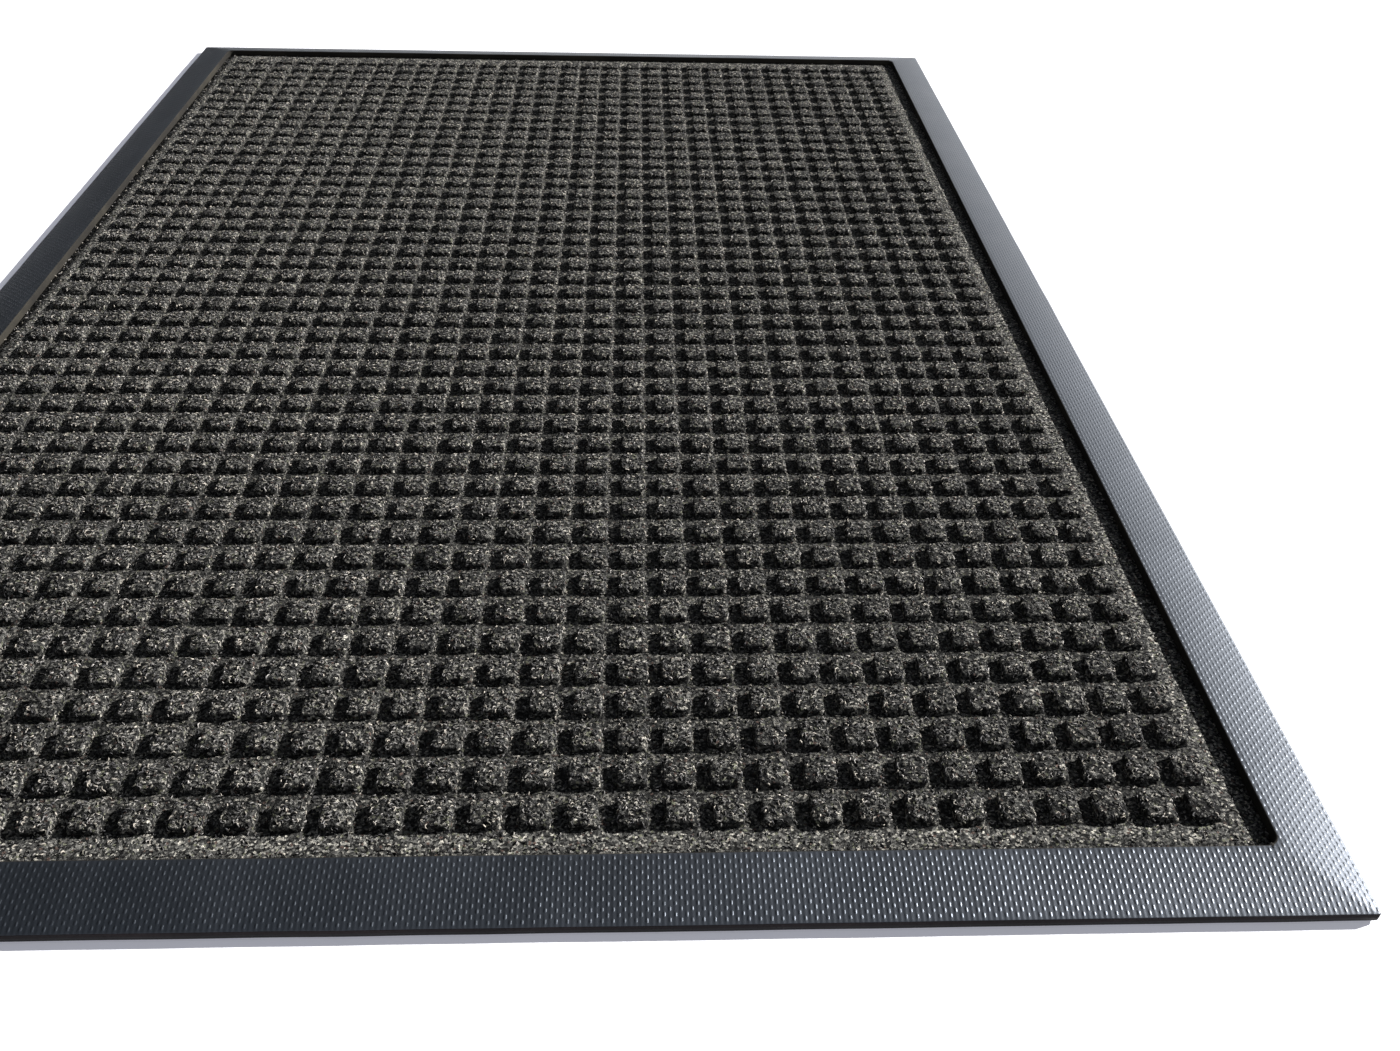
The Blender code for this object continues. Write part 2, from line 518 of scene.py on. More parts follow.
@dataclass(frozen=True)
class CuredRubber:
    """Vulcanised black rubber, cured in a press against a woven release cloth.

    The cloth leaves fine ribs and a satin skin that turns blue-grey where it mirrors the
    sky, and grey dust stays on it in patches.
    """

    name: str = "vulcanised_rubber_cloth_pressed"
    skin: str = "#0e1114"
    dust: str = "#1b1e22"
    glint: str = "#e0eaf9"
    rib_pitch: float = 1.79 * MM
    rib_depth: float = 0.08 * MM
    grain: float = 0.35 * MM
    smear: float = 40 * MM  # width of a dusty patch
    roughness: tuple[float, float] = (0.40, 0.47)  # where clean, and where dusty

    def make(self) -> bpy.types.Material:
        """Builds the material."""
        material, shader = new_material(
            self.name,
            {"IOR": 1.7, "Specular IOR Level": 0.9, "Specular Tint": linear(self.glint)},
        )
        add = partial(add_node, material.node_tree)
        place = add("ShaderNodeTexCoord").outputs["Object"]
        across = add("ShaderNodeSeparateXYZ", {0: place}).outputs["X"]
        ribs = 2 * math.pi / self.rib_pitch
        turns = add("ShaderNodeMath", {"operation": "MULTIPLY", 0: across, 1: ribs})
        rib = add("ShaderNodeMath", {"operation": "COSINE", 0: turns})
        grain, smear = [
            add(
                "ShaderNodeTexNoise",
                {"Vector": place, "Scale": 1 / size, "Detail": detail, "Roughness": rough},
            )
            for size, detail, rough in ((self.grain, 3.0, 0.6), (self.smear, 5.0, 0.62))
        ]
        height = add("ShaderNodeMath", {"operation": "MULTIPLY_ADD", 0: rib, 1: 0.5, 2: grain})
        bump = add(
            "ShaderNodeBump", {"Strength": 0.55, "Distance": self.rib_depth, "Height": height}
        )
        dusty = add(
            "ShaderNodeMapRange",
            {"Value": smear, "From Min": 0.45, "From Max": 0.75, "To Min": 0.0, "To Max": 0.6},
        )
        colour = add(
            "ShaderNodeMix",
            {"data_type": "RGBA", 0: dusty, 6: linear(self.skin), 7: linear(self.dust)},
        )
        rough = add(
            "ShaderNodeMapRange",
            {
                "Value": smear,
                "From Min": 0.3,
                "From Max": 0.7,
                "To Min": self.roughness[0],
                "To Max": self.roughness[1],
            },
        )
        set_up(shader, {"Base Color": colour.outputs[2], "Roughness": rough, "Normal": bump})
        return material


@dataclass(frozen=True)
class MouldedRubber:
    """Moulded black rubber: matt, with a pebbled skin and pale bloom in patches."""

    name: str = "moulded_rubber_sheet"
    skin: str = "#141314"
    bloom: str = "#1e1d1f"
    patch: float = 55 * MM  # width of a patch of bloom
    pebble: float = 0.8 * MM
    pebble_depth: float = 0.08 * MM
    roughness: float = 0.62
    level: float = 0.2  # of the gloss

    def make(self) -> bpy.types.Material:
        """Builds the material."""
        material, shader = new_material(
            self.name,
            {"IOR": 1.52, "Specular IOR Level": self.level, "Roughness": self.roughness},
        )
        add = partial(add_node, material.node_tree)
        place = add("ShaderNodeTexCoord").outputs["Object"]
        pebble = add("ShaderNodeTexVoronoi", {"Vector": place, "Scale": 1 / self.pebble})
        bloom = add(
            "ShaderNodeTexNoise",
            {"Vector": place, "Scale": 1 / self.patch, "Detail": 6.0, "Roughness": 0.65},
        )
        colour = add("ShaderNodeValToRGB", {0: bloom})
        set_ramp(colour, ((0.42, self.skin), (0.70, self.bloom)), "EASE")
        bump = add(
            "ShaderNodeBump",
            {
                "Strength": 0.35,
                "Distance": self.pebble_depth,
                "Height": pebble.outputs["Distance"],
            },
        )
        set_up(shader, {"Base Color": colour, "Normal": bump})
        return material


@dataclass(frozen=True)
class NeedledHeather:
    """Needle-punched polypropylene felt in a heather of dyed fibres.

    The needles leave curls about a millimetre across, so the eye sees pale, grey and
    olive strands that cross over hollows, which are painted near-black as shade. A real
    fibre is too fine to show, so the strands are drawn coarser. The dyed colour can also
    be scaled by place: down among the raised squares as painted shade between them, and
    up on the margin outside them as painted light.
    """

    name: str = "needle_punched_polypropylene_open"
    # painted shade: the near-black of the hollows between the strands
    hollow: str = "#080809"
    squares: tuple[float, float] = (261.0 * MM, 411.0 * MM)  # half the field of squares
    verge: tuple[float, float] = (-1.0 * MM, 2.5 * MM)  # where the painted shade among the squares turns to the margin's painted light
    curl: float = 1.25 * MM
    finer: float = 0.62  # a curl of the second layer, as a share of one of the first
    fleck: float = 0.95 * MM
    lift: float = 1.0  # brightens every dyed fibre among the raised squares; below the margin's level it paints the flat carpet between them darker as shade
    margin_lift: float = 1.0  # the same on the margin outside the raised squares; above lift it is painted light
    clump: float = 2.3 * MM
    clump_depth: float = 0.9  # share of the relief
    matted: float = 0.12  # how much of the fibre colour the painted shade in the hollows keeps
    windings: float = 5.0
    relief: float = 0.5 * MM
    ramp: tuple[tuple[float, str], ...] = (
        (0.00, "#181817"),
        (0.26, "#31312f"),
        (0.50, "#4d4c49"),
        (0.70, "#696863"),
        (0.83, "#8c8981"),
        (0.92, "#626354"),
        (0.955, "#50433d"),
        (0.975, "#aca89d"),
    )

    def strands(
        self, tree: bpy.types.NodeTree, place: bpy.types.NodeSocket, size: float, shift: float
    ) -> bpy.types.Node:
        """Height of one layer of curled strands, from 0 between them to 1 on top.

        Args:
            tree: The material's tree.
            place: The coordinates' socket.
            size: About how wide one curl is.
            shift: Moves this layer's pattern apart from the others.

        Returns:
            The node that gives the height.
        """
        add = partial(add_node, tree)
        offset = (shift, shift * 0.7, shift * 1.3)
        moved = add("ShaderNodeVectorMath", {"operation": "ADD", 0: place, 1: offset})
        wander = add(
            "ShaderNodeTexNoise",
            {
                "Vector": moved,
                "Scale": 1 / size,
                "Detail": 1.0,
                "Roughness": 0.4,
                "Distortion": 0.6,
            },
        )
        turns = add("ShaderNodeMath", {"operation": "MULTIPLY", 0: wander, 1: self.windings})
        fold = add("ShaderNodeMath", {"operation": "PINGPONG", 0: turns, 1: 0.5})
        return add(
            "ShaderNodeMapRange",
            {
                "interpolation_type": "SMOOTHSTEP",
                "Value": fold,
                "From Min": 0.16,
                "From Max": 0.42,
            },
        )

    def gain(self, tree: bpy.types.NodeTree, place: bpy.types.NodeSocket) -> bpy.types.Node:
        """How far the fibres are brightened, on the raised squares and outside them: where the
        two differ, the lower is painted shade between the squares and the higher is painted
        light on the margin.

        Args:
            tree: The material's tree.
            place: The coordinates' socket.

        Returns:
            The node that gives the factor.
        """
        add = partial(add_node, tree)
        apart = add("ShaderNodeVectorMath", {"operation": "ABSOLUTE", 0: place})
        beyond = add(
            "ShaderNodeVectorMath",
            {"operation": "SUBTRACT", 0: apart, 1: (*self.squares, 0.0)},
        )
        axes = add("ShaderNodeSeparateXYZ", {0: beyond}).outputs
        farthest = add("ShaderNodeMath", {"operation": "MAXIMUM", 0: axes["X"], 1: axes["Y"]})
        return add(
            "ShaderNodeMapRange",
            {
                "Value": farthest,
                "From Min": self.verge[0],
                "From Max": self.verge[1],
                "To Min": self.lift,
                "To Max": self.margin_lift,
            },
        )

    def make(self) -> bpy.types.Material:
        """Builds the material."""
        material, shader = new_material(
            self.name, {"Roughness": 0.9, "IOR": 1.49, "Specular IOR Level": 0.12}
        )
        tree = material.node_tree
        add = partial(add_node, tree)
        place = add("ShaderNodeTexCoord").outputs["Object"]
        coarse = self.strands(tree, place, self.curl, 0.0)
        fine = self.strands(tree, place, self.curl * self.finer, 0.37)
        strand = add("ShaderNodeMath", {"operation": "MAXIMUM", 0: coarse, 1: fine})
        clump = add(
            "ShaderNodeTexNoise",
            {"Vector": place, "Scale": 1 / self.clump, "Detail": 1.5, "Distortion": 0.4},
        )
        tuft = add(
            "ShaderNodeMapRange",
            {
                "interpolation_type": "SMOOTHSTEP",
                "Value": clump,
                "From Min": 0.36,
                "From Max": 0.58,
                "To Min": 1.0 - self.clump_depth,
            },
        )
        top = add("ShaderNodeMath", {"operation": "MULTIPLY", 0: strand, 1: tuft})
        height = add("ShaderNodeMath", {"operation": "ADD", 0: top, 1: tuft})
        fleck = add("ShaderNodeTexVoronoi", {"Vector": place, "Scale": 1 / self.fleck})
        tone = add("ShaderNodeSeparateColor", {0: fleck.outputs["Color"]})
        dyed = add("ShaderNodeValToRGB", {0: tone})
        set_ramp(dyed, self.ramp, "CONSTANT")
        # painted shade: the lower the strands and clumps stand, the more the colour turns to
        # the hollows' painted near-black
        hollow_shade_mask = add(
            "ShaderNodeMapRange", {"Value": top, "From Max": 0.8, "To Min": self.matted}
        )
        # the dyed colour scaled by place: painted shade among the raised squares, painted
        # light on the margin
        dye_with_painted_shade_and_light = add(
            "ShaderNodeVectorMath",
            {"operation": "SCALE", 0: dyed, "Scale": self.gain(tree, place)},
        )
        colour = add(
            "ShaderNodeMix",
            {"data_type": "RGBA", 0: hollow_shade_mask, 6: linear(self.hollow), 7: dye_with_painted_shade_and_light},
        )
        bump = add(
            "ShaderNodeBump", {"Strength": 0.9, "Distance": self.relief, "Height": height}
        )
        set_up(shader, {"Base Color": colour.outputs[2], "Normal": bump})
        return material


class Dye(Enum):
    """The dyed fibres of the heather, with their colours."""

    CHARCOAL = "#1d1c1c"
    SLATE = "#474647"
    PEWTER = "#6e6c6a"
    DOVE = "#9f9b96"
    SAND = "#aca59a"
    MOSS = "#6f6c63"


@dataclass(frozen=True)
class CurledFibre:
    """Solution-dyed polypropylene fibre: an even colour right through, with a soft shine."""

    dye: Dye
    roughness: float = 0.6
    streak: float = 0.9 * MM

    def make(self) -> bpy.types.Material:
        """Builds the material, a little darker and lighter from place to place."""
        material, shader = new_material(
            f"polypropylene_fibre_{self.dye.name.lower()}",
            {"Roughness": self.roughness, "IOR": 1.49, "Specular IOR Level": 0.25},
        )
        add = partial(add_node, material.node_tree)
        place = add("ShaderNodeTexCoord").outputs["Object"]
        streak = add(
            "ShaderNodeTexNoise", {"Vector": place, "Scale": 1 / self.streak, "Detail": 1.0}
        )
        level = add(
            "ShaderNodeMapRange",
            {
                "Value": streak,
                "From Min": 0.3,
                "From Max": 0.7,
                "To Min": 0.45,
                "To Max": 1.35,
            },
        )
        dyed = linear(self.dye.value)[:3]
        colour = add("ShaderNodeVectorMath", {"operation": "SCALE", 0: dyed, "Scale": level})
        set_up(shader, {"Base Color": colour})
        return material


@dataclass(frozen=True)
class CarrierCloth:
    """Woven polypropylene carrier cloth: flat tapes over and under, off-white; the tapes that
    lie under are painted darker as shade.
    """

    name: str = "woven_carrier_cloth"
    tape: float = 1.6 * MM
    tape_depth: float = 0.1 * MM
    pale: str = "#a5a39b"
    # painted shade: the colour of the tapes that lie under
    shade: str = "#55534d"

    def make(self) -> bpy.types.Material:
        """Builds the material."""
        material, shader = new_material(self.name, {"Roughness": 0.8, "IOR": 1.49})
        add = partial(add_node, material.node_tree)
        weave = add(
            "ShaderNodeTexChecker",
            {
                "Vector": add("ShaderNodeTexCoord").outputs["Object"],
                "Scale": 1 / self.tape,
                "Color1": linear(self.pale),
                "Color2": linear(self.shade),
            },
        )
        height = weave.outputs["Fac"]
        bump = add(
            "ShaderNodeBump", {"Strength": 0.4, "Distance": self.tape_depth, "Height": height}
        )
        set_up(shader, {"Base Color": weave.outputs["Color"], "Normal": bump})
        return material


# ---------------------------------------------------------------------------
# Recipes for what repeats
# ---------------------------------------------------------------------------


def rows_of_copies() -> Recipe:
    """Copies of one shape in rows and columns, each a little different.

    Returns:
        A recipe that adds the copies to the mesh that it starts from.
    """
    recipe = Recipe("rows_of_copies")
    add = recipe.add
    shape, columns, rows, seed = recipe.inputs(
        Shape="Object", Columns="Int", Rows="Int", Seed="Int"
    )
    names = ("Width", "Length", "Level", "Turn", "Stray", "Swell", "Lumps")
    width, length, level, turn, stray, swell, lumps = recipe.inputs(
        **dict.fromkeys(names, "Float")
    )
    grid = add(
        "GeometryNodeMeshGrid",
        {"Size X": width, "Size Y": length, "Vertices X": columns, "Vertices Y": rows},
    )
    lift = add("ShaderNodeCombineXYZ", {2: level})
    offset = add(
        "ShaderNodeVectorMath", {"operation": "ADD", 0: recipe.strewn(stray, 1, seed), 1: lift}
    )
    placed = add("GeometryNodeSetPosition", {"Geometry": grid, "Offset": offset})
    chance = recipe.random(-1, 1, 3, seed)
    angle = add("ShaderNodeMath", {"operation": "MULTIPLY", 0: chance, 1: turn})
    copies = add(
        "GeometryNodeInstanceOnPoints",
        {
            "Points": placed,
            "Instance": add("GeometryNodeObjectInfo", {"Object": shape}).outputs["Geometry"],
            "Rotation": add("ShaderNodeCombineXYZ", {2: angle}),
            "Scale": recipe.swollen(swell, 4, seed),
        },
    )
    real = add("GeometryNodeRealizeInstances", {"Geometry": copies})
    lump = add("ShaderNodeTexNoise", {"Scale": 1 / LUMP, "Detail": 1.0}).outputs["Color"]
    centred = add(
        "ShaderNodeVectorMath", {"operation": "SUBTRACT", 0: lump, 1: (0.5, 0.5, 0.5)}
    )
    push = add("ShaderNodeVectorMath", {"operation": "SCALE", 0: centred, "Scale": lumps})
    lumpy = add("GeometryNodeSetPosition", {"Geometry": real, "Offset": push})
    joined = add("GeometryNodeJoinGeometry", {"Geometry": recipe.base})
    set_up(joined, {"Geometry": lumpy})
    return recipe.end(joined)


def pressed_weave() -> Recipe:
    """Grains in a staggered lattice on a sloping face, as a woven cloth presses them.

    Returns:
        A recipe that starts from the face that takes the grains, and adds them to the
        strip that the face belongs to.
    """
    recipe = Recipe("pressed_weave")
    add = recipe.add
    strip, grain, columns, rows, middle, seed = recipe.inputs(
        Strip="Object", Grain="Object", Columns="Int", Rows="Int", Middle="Vector", Seed="Int"
    )
    warp, weft, stray, swell = recipe.inputs(
        Warp_Pitch="Float", Weft_Pitch="Float", Stray="Float", Swell="Float"
    )
    spans = []
    for count, pitch in ((columns, warp), (rows, weft)):
        gaps = add("ShaderNodeMath", {"operation": "SUBTRACT", 0: count, 1: 1.0})
        spans.append(add("ShaderNodeMath", {"operation": "MULTIPLY", 0: gaps, 1: pitch}))
    grid = add(
        "GeometryNodeMeshGrid",
        {"Size X": spans[0], "Size Y": spans[1], "Vertices X": columns, "Vertices Y": rows},
    )
    moved = add("GeometryNodeSetPosition", {"Geometry": grid, "Offset": middle})
    place = add("GeometryNodeInputPosition")
    column = add("ShaderNodeSeparateXYZ", {0: place}).outputs["X"]
    column = add("ShaderNodeMath", {"operation": "DIVIDE", 0: column, 1: warp})
    column = add("ShaderNodeMath", {"operation": "ROUND", 0: column})
    odd = add("ShaderNodeMath", {"operation": "FLOORED_MODULO", 0: column, 1: 2.0})
    step = add("ShaderNodeMath", {"operation": "MULTIPLY", 0: odd, 1: weft})
    half_step = add("ShaderNodeMath", {"operation": "MULTIPLY", 0: step, 1: 0.5})
    offset = add(
        "ShaderNodeVectorMath",
        {
            "operation": "ADD",
            0: add("ShaderNodeCombineXYZ", {1: half_step}),
            1: recipe.strewn(stray, 1, seed),
        },
    )
    staggered = add("GeometryNodeSetPosition", {"Geometry": moved, "Offset": offset})
    down = {
        "Target Geometry": recipe.base,
        "Ray Direction": (0.0, 0.0, -1.0),
        "Ray Length": 1.0,
    }
    hit = add("GeometryNodeRaycast", down)
    kept = add(
        "GeometryNodeMeshToPoints",
        {
            0: staggered,
            "Selection": hit.outputs["Is Hit"],
            "Position": hit.outputs["Hit Position"],
        },
    )
    above = add("ShaderNodeVectorMath", {"operation": "ADD", 0: place, 1: (0.0, 0.0, 0.1)})
    tilt = add("GeometryNodeRaycast", {**down, "Source Position": above})
    facing = add(
        "FunctionNodeAlignRotationToVector",
        {"axis": "Z", "pivot_axis": "AUTO", "Vector": tilt.outputs["Hit Normal"]},
    )
    grains = add(
        "GeometryNodeInstanceOnPoints",
        {
            "Points": kept,
            "Instance": add("GeometryNodeObjectInfo", {"Object": grain}).outputs["Geometry"],
            "Rotation": facing,
            "Scale": recipe.swollen(swell, 3, seed),
        },
    )
    body = add("GeometryNodeObjectInfo", {"Object": strip}).outputs["Geometry"]
    joined = add("GeometryNodeJoinGeometry", {"Geometry": body})
    set_up(joined, {"Geometry": grains})
    return recipe.end(joined)


def scattered_curls() -> Recipe:
    """Curled fibres scattered over a surface, lying every way.

    Returns:
        A recipe that starts from the surface and gives the curls alone.
    """
    recipe = Recipe("scattered_curls")
    add = recipe.add
    *shapes, seed = recipe.inputs(Crook="Object", Arch="Object", Hook="Object", Seed="Int")
    density, tilt, small, large = recipe.inputs(
        Density="Float", Tilt="Float", Smallest="Float", Largest="Float"
    )
    facing = add("ShaderNodeSeparateXYZ", {0: add("GeometryNodeInputNormal")})
    level = add(
        "ShaderNodeMapRange",  # fewer curls on steep faces
        {"Value": facing.outputs["Z"], "From Min": 0.3, "From Max": 0.9, "To Min": 0.25},
    )
    share = add("GeometryNodeInputNamedAttribute", {"data_type": "FLOAT", "Name": SHARE})
    share = share.outputs["Attribute"]
    share = add("ShaderNodeMath", {"operation": "MULTIPLY", 0: share, 1: level})
    local = add("ShaderNodeMath", {"operation": "MULTIPLY", 0: share, 1: density})
    points = add(
        "GeometryNodeDistributePointsOnFaces",
        {"distribute_method": "RANDOM", "Mesh": recipe.base, "Density": local, "Seed": seed},
    )
    lean = recipe.strewn(tilt, 1, seed)
    spin = add("ShaderNodeCombineXYZ", {2: recipe.random(0, 2 * math.pi, 3, seed)})
    way = points.outputs["Rotation"]
    for turn in (spin, lean):
        way = add("FunctionNodeRotateRotation", {"rotation_space": "LOCAL", 0: way, 1: turn})
    growth = recipe.random(0, 1, 4, seed)
    size = add("ShaderNodeMapRange", {"Value": growth, "To Min": small, "To Max": large})
    picked = add("GeometryNodeJoinGeometry")
    for shape in reversed(shapes):
        source = add("GeometryNodeObjectInfo", {"Object": shape}).outputs["Geometry"]
        set_up(picked, {"Geometry": add("GeometryNodeGeometryToInstance", {0: source})})
    chance = recipe.random(0, 1, 5, seed)
    choice = add("ShaderNodeMath", {"operation": "MULTIPLY", 0: chance, 1: 2.999})
    curls = add(
        "GeometryNodeInstanceOnPoints",
        {
            "Points": points.outputs["Points"],
            "Instance": picked,
            "Pick Instance": True,
            "Instance Index": add("ShaderNodeMath", {"operation": "FLOOR", 0: choice}),
            "Rotation": way,
            "Scale": size,
        },
    )
    return recipe.end(curls)


# ---------------------------------------------------------------------------
# Sub-assemblies
# ---------------------------------------------------------------------------


@dataclass
class CleatedBacking:
    """The rubber sheet under the mat, with blunt cleats on its underside."""

    mat: MatFrame
    finish: bpy.types.Material
    copies: Recipe
    sheet_base: float = 1.2 * MM  # above the tips of the cleats
    corner_radius: float = 1.5 * MM
    bottom_round: float = 0.35 * MM
    cleat_foot: float = 1.6 * MM
    cleat_tip: float = 0.75 * MM
    cleat_root: float = 0.4 * MM  # depth inside the sheet
    cleat_sides: int = 10
    cleat_inset: float = 2.0 * MM  # of the outermost cleats' centres
    cleat_spacing: float = 33.5 * MM
    cleat_turn: float = 0.2  # radians
    cleat_swell: float = 0.04
    edge_step: float = 6 * MM
    sharp: float = 40.0  # degrees

    def cleat(self) -> bpy.types.Object:
        """One blunt cone whose root is inside the sheet."""
        rings = (
            (0.55 * self.cleat_tip, 0.0),
            (self.cleat_tip, 0.12 * self.sheet_base),
            (self.cleat_foot, self.sheet_base),
            (self.cleat_foot, self.sheet_base + self.cleat_root),
        )
        return stack(
            "cleat_shape",
            [
                oval(self.cleat_sides, (2 * radius, 2 * radius), 1.0, height, phase=0.0)
                for radius, height in rings
            ],
        )

    def sheet(self) -> bpy.types.Mesh:
        """The sheet, with its lower edge rounded and its cut edge straying a little."""
        base = self.mat.floor + self.sheet_base
        half = self.mat.half
        outline = rounded_rectangle(half, self.corner_radius, 4, self.edge_step)
        rings = []
        for inset, height in (
            (self.bottom_round, base),
            (0.3 * self.bottom_round, base + 0.3 * self.bottom_round),
            (0.0, base + self.bottom_round),
            (0.0, self.mat.backing_top),
        ):
            ring = []
            for point in outline:
                outward = Vector((point.x / half.x, point.y / half.y))
                outward = Vector([round(part) if abs(part) > 0.99 else 0 for part in outward])
                spot = point + outward * (hand_cut(point) - inset)
                ring.append((spot.x, spot.y, height))
            rings.append(ring)
        return release(stack("sheet_shape", rings))

    def build(self) -> None:
        """Builds the backing as one piece."""
        cleat = self.cleat()
        reach = self.mat.half - Vector((1, 1)) * self.cleat_inset
        backing = self.copies.make(
            "rubber_backing",
            self.sheet(),
            self.finish,
            Shape=cleat,
            Columns=2 * round(reach.x / self.cleat_spacing) + 1,
            Rows=2 * round(reach.y / self.cleat_spacing) + 1,
            Width=2 * reach.x,
            Length=2 * reach.y,
            Level=self.mat.floor,
            Turn=self.cleat_turn,
            Swell=self.cleat_swell,
            Seed=11,
        )
        bpy.data.objects.remove(cleat)
        sharpen(backing, self.sharp)
        place_piece(backing, "backing_sheet", "backing_sheet")


class Side(Enum):
    """The border's sides, by how many quarter turns they are from the front."""

    FRONT = 0
    RIGHT = 1
    BACK = 2
    LEFT = 3

    @property
    def label(self) -> str:
        """The side's name in lower case."""
        return self.name.lower()

    @property
    def turn(self) -> Matrix:
        """The turn in plan from the front to this side."""
        return Matrix.Rotation(math.radians(90) * self.value, 2)

    @property
    def outward(self) -> Vector:
        """The way in plan out of the mat."""
        return self.turn @ Vector((0, -1))


@dataclass
class PressedBorder:
    """The four bevelled rubber strips that meet at mitres and stand round the carpet."""

    mat: MatFrame
    finish: bpy.types.Material
    trimmed: bpy.types.Material  # of the outer wall
    dusty: bpy.types.Material  # of the inner wall and edge
    weave: Recipe
    steep: float = 0.6  # a face whose normal rises less than this is a wall
    lip: float = 1.7 * MM  # thickness of the outer edge above the backing
    crown: float = 0.5 * MM
    outer_radius: float = 1.5 * MM
    opening_radius: float = 5.0 * MM
    edge_radius: float = 0.5 * MM
    lip_round: float = 0.35 * MM
    station_step: float = 6 * MM
    slope_steps: int = 9
    edge_steps: int = 4
    corner_steps: int = 4
    sharp: float = 50.0  # degrees
    warp_pitch: float = 1.79 * MM
    weft_pitch: float = 3.60 * MM  # between grains in one column
    grain_length: float = 2.5 * MM
    grain_width: float = 1.35 * MM
    grain_rise: float = 0.125 * MM
    grain_sunk: float = 0.04 * MM  # depth of its foot in the rubber
    grain_stray: float = 0.08 * MM
    grain_swell: float = 0.14
    grain_sides: int = 6
    plain_edge: float = 0.3 * MM  # of the sloping face, beyond the outermost grains

    @property
    def width(self) -> float:
        """Width of a strip, up to the carpet's edge."""
        return self.mat.half.x - self.mat.carpet_half.x

    def profile(self) -> list[tuple[float, float]]:
        """Section of a strip, as (inset, height) from its outer foot over to its inner."""
        base = self.mat.backing_top
        top = self.mat.dam_top - base
        slope = self.width - self.edge_radius
        points = [(0.0, base), (0.0, base + self.lip - self.lip_round)]
        points.append((0.3 * self.lip_round, base + self.lip - 0.3 * self.lip_round))
        for step in range(self.slope_steps + 1):
            share = step / self.slope_steps
            rise = self.lip + (top - self.lip) * share + self.crown * 4 * share * (1 - share)
            points.append((self.lip_round + (slope - self.lip_round) * share, base + rise))
        for step in range(1, self.edge_steps + 1):
            angle = math.radians(90) * step / self.edge_steps
            inset = slope + self.edge_radius * math.sin(angle)
            points.append((inset, base + top - self.edge_radius * (1 - math.cos(angle))))
        points.append((self.width, base))
        return points

    def section_at(self, inset: float) -> tuple[float, float]:
        """The point of the section's upper side at this inset."""
        upper = self.profile()[2:-1]
        for (near, low), (far, high) in zip(upper, upper[1:]):
            if near <= inset <= far:
                return (inset, low + (high - low) * (inset - near) / (far - near))
        raise ValueError(f"no section at {inset}")

    def line(self, side_length: float, depth: float, inset: float) -> list[Vector]:
        """Plan points along one inset of a strip at the front, from mitre to mitre.

        Args:
            side_length: Length of the mat's side that the strip lies along.
            depth: From the mat's middle to that side.
            inset: From the side, inwards.

        Returns:
            The points, from left to right.
        """
        share = inset / self.width
        radius = self.outer_radius + (self.opening_radius - self.outer_radius) * share
        centre = Vector((side_length / 2 - inset - radius, -(depth - inset - radius)))
        arc = []
        for step in range(self.corner_steps + 1):
            angle = math.radians(-90 + 45 * step / self.corner_steps)
            arc.append(centre + radius * Vector((math.cos(angle), math.sin(angle))))
        left = [Vector((-point.x, point.y)) for point in reversed(arc)]
        parts = math.ceil(side_length / self.station_step)
        straight = [left[-1].lerp(arc[0], part / parts) for part in range(1, parts)]
        return left + straight + arc

    def rows(self, side: Side, sections: list[tuple[float, float]]) -> list[list[Vector]]:
        """Points of a strip: one row along the side for each point of a section.

        Args:
            side: Which side of the mat.
            sections: (inset, height) points.

        Returns:
            The rows, in the mat's own coordinates.
        """
        half = self.mat.half
        along, depth = (half.y, half.x) if side.value % 2 else (half.x, half.y)
        turn, outward = side.turn, side.outward
        rows = []
        for inset, height in sections:
            row = []
            share = min(inset / (4 * self.edge_radius), 1.0)
            for point in self.line(2 * along, depth, inset):
                spot = turn @ point
                spot = spot + outward * (1 - share) * hand_cut(spot)
                lift = press_wave(spot) if height > self.mat.backing_top else 0.0
                row.append(Vector((spot.x, spot.y, height + lift)))
            rows.append(row)
        return rows

    def strip(self, side: Side) -> bpy.types.Object:
        """The closed solid of one strip."""
        builder = bmesh.new()
        rows = self.rows(side, self.profile())
        verts = [[builder.verts.new(point) for point in row] for row in rows]
        for first, second in zip(verts, verts[1:] + verts[:1]):
            bridge(builder, first, second, False)
        builder.faces.new([row[0] for row in verts])
        builder.faces.new([row[-1] for row in verts])
        strip = object_from(f"strip_shape_{side.label}", builder)
        sharpen(strip, self.sharp)
        return strip

    def face(self, side: Side) -> bpy.types.Mesh:
        """The part of a strip's sloping face that takes the weave's grains."""
        builder = bmesh.new()
        low, high = self.plain_edge, self.width - self.plain_edge
        sections = [self.section_at(low)]
        sections += [point for point in self.profile()[2:-1] if low < point[0] < high]
        sections += [self.section_at(high)]
        verts = [
            [builder.verts.new(point) for point in row] for row in self.rows(side, sections)
        ]
        for first, second in zip(verts, verts[1:]):
            bridge(builder, first, second, False)
        return release(object_from(f"face_shape_{side.label}", builder))

    def grain(self) -> bpy.types.Object:
        """One grain of the weave: a low bead along Y whose foot is sunk in the rubber."""
        size = (self.grain_width, self.grain_length)
        rings = [
            oval(self.grain_sides, size, share, height)
            for share, height in ((1.0, -self.grain_sunk), (0.60, 0.66 * self.grain_rise))
        ]
        return stack("grain_shape", rings, crown=self.grain_rise)

